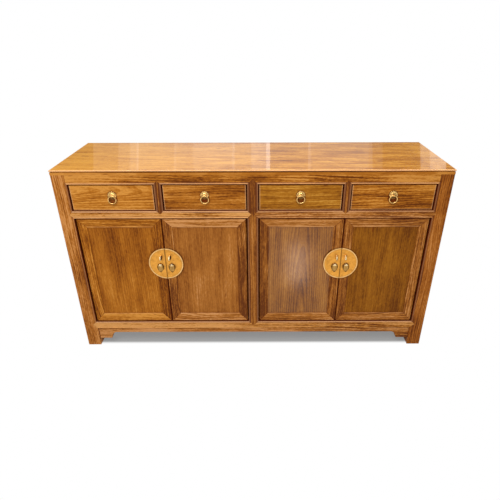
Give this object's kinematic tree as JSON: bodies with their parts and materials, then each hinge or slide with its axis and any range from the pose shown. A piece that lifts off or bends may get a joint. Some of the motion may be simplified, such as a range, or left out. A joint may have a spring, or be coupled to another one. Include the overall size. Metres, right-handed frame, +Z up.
{
  "type": "sideboard",
  "caption": "Long low elm sideboard with a row of drawers over pairs of pivot-hung doors in a beaded mortised frame, with ring pulls and split round brass plates",
  "frame": {"origin": "on the floor under the middle of the box round the whole part, lock ears included", "axes": "+X along the front to the right, +Y to the back, +Z up"},
  "size_m": [1.6, 0.4646, 0.864],
  "materials": {
    "elm": "satin clear finish over honey brown elm",
    "inner_wood": "planed and unfinished",
    "back_wood": "thin matt finish",
    "brass": "satin brass",
    "bronze": "aged brass, darker than the plates"
  },
  "bodies": {
    "carcass": {"leg_front_left": "elm", "leg_front_right": "elm", "leg_back_left": "elm", "leg_back_right": "elm", "top_boards": "elm", "top_battens": "inner_wood", "rail_front_top": "elm", "rail_front_mid_left": "elm", "rail_front_mid_right": "elm", "stile_front_centre": "elm", "drawer_dividers": "elm", "rail_front_bottom": "elm", "apron_front": "elm", "aprons_side": "elm", "rails_side_left": "elm", "rails_side_right": "elm", "panel_side_left": "elm", "panel_side_right": "elm", "rails_back": "back_wood", "stile_back": "back_wood", "panels_back": "back_wood", "floor_boards": "inner_wood", "partition_centre": "inner_wood", "drawer_runners": "inner_wood", "shelves": "inner_wood", "shelf_cleats": "inner_wood", "stop_blocks": "inner_wood"},
    "drawer_1": {"drawer_1_front": "elm", "drawer_1_box": "inner_wood", "drawer_1_rosette": "brass"},
    "ring_1": {"drawer_1_ring": "brass"},
    "drawer_2": {"drawer_2_front": "elm", "drawer_2_box": "inner_wood", "drawer_2_rosette": "brass"},
    "ring_2": {"drawer_2_ring": "brass"},
    "drawer_3": {"drawer_3_front": "elm", "drawer_3_box": "inner_wood", "drawer_3_rosette": "brass"},
    "ring_3": {"drawer_3_ring": "brass"},
    "drawer_4": {"drawer_4_front": "elm", "drawer_4_box": "inner_wood", "drawer_4_rosette": "brass"},
    "ring_4": {"drawer_4_ring": "brass"},
    "door_1": {"door_1_frame": "elm", "door_1_panel": "elm", "door_1_plate": "brass"},
    "pull_1": {"door_1_pull": "bronze"},
    "door_2": {"door_2_frame": "elm", "door_2_panel": "elm", "door_2_plate": "brass"},
    "pull_2": {"door_2_pull": "bronze"},
    "door_3": {"door_3_frame": "elm", "door_3_panel": "elm", "door_3_plate": "brass"},
    "pull_3": {"door_3_pull": "bronze"},
    "door_4": {"door_4_frame": "elm", "door_4_panel": "elm", "door_4_plate": "brass"},
    "pull_4": {"door_4_pull": "bronze"}
  },
  "joints": [
    {"name": "drawer_1_slide", "type": "slide", "parent": "carcass", "child": "drawer_1", "axis": [0, -1, 0], "range_m": [0, 0.3]},
    {"name": "ring_1_swing", "type": "hinge", "parent": "drawer_1", "child": "ring_1", "pos_m": [-0.56737, -0.22025, 0.758], "axis": [-1, 0, 0], "range_deg": [0, 150]},
    {"name": "drawer_2_slide", "type": "slide", "parent": "carcass", "child": "drawer_2", "axis": [0, -1, 0], "range_m": [0, 0.3]},
    {"name": "ring_2_swing", "type": "hinge", "parent": "drawer_2", "child": "ring_2", "pos_m": [-0.19412, -0.22025, 0.758], "axis": [-1, 0, 0], "range_deg": [0, 150]},
    {"name": "drawer_3_slide", "type": "slide", "parent": "carcass", "child": "drawer_3", "axis": [0, -1, 0], "range_m": [0, 0.3]},
    {"name": "ring_3_swing", "type": "hinge", "parent": "drawer_3", "child": "ring_3", "pos_m": [0.19412, -0.22025, 0.758], "axis": [-1, 0, 0], "range_deg": [0, 150]},
    {"name": "drawer_4_slide", "type": "slide", "parent": "carcass", "child": "drawer_4", "axis": [0, -1, 0], "range_m": [0, 0.3]},
    {"name": "ring_4_swing", "type": "hinge", "parent": "drawer_4", "child": "ring_4", "pos_m": [0.56737, -0.22025, 0.758], "axis": [-1, 0, 0], "range_deg": [0, 150]},
    {"name": "door_1_hinge", "type": "hinge", "parent": "carcass", "child": "door_1", "pos_m": [-0.7275, -0.20425, 0.139], "axis": [0, 0, 1], "range_deg": [-90, 0]},
    {"name": "pull_1_swing", "type": "hinge", "parent": "door_1", "child": "pull_1", "pos_m": [-0.40575, -0.21845, 0.442], "axis": [-1, 0, 0], "range_deg": [0, 120]},
    {"name": "door_2_hinge", "type": "hinge", "parent": "carcass", "child": "door_2", "pos_m": [-0.034, -0.20425, 0.139], "axis": [0, 0, 1], "range_deg": [0, 90]},
    {"name": "pull_2_swing", "type": "hinge", "parent": "door_2", "child": "pull_2", "pos_m": [-0.35575, -0.21845, 0.442], "axis": [-1, 0, 0], "range_deg": [0, 120]},
    {"name": "door_3_hinge", "type": "hinge", "parent": "carcass", "child": "door_3", "pos_m": [0.034, -0.20425, 0.139], "axis": [0, 0, 1], "range_deg": [-90, 0]},
    {"name": "pull_3_swing", "type": "hinge", "parent": "door_3", "child": "pull_3", "pos_m": [0.35575, -0.21845, 0.442], "axis": [-1, 0, 0], "range_deg": [0, 120]},
    {"name": "door_4_hinge", "type": "hinge", "parent": "carcass", "child": "door_4", "pos_m": [0.7275, -0.20425, 0.139], "axis": [0, 0, 1], "range_deg": [0, 90]},
    {"name": "pull_4_swing", "type": "hinge", "parent": "door_4", "child": "pull_4", "pos_m": [0.40575, -0.21845, 0.442], "axis": [-1, 0, 0], "range_deg": [0, 120]}
  ]
}
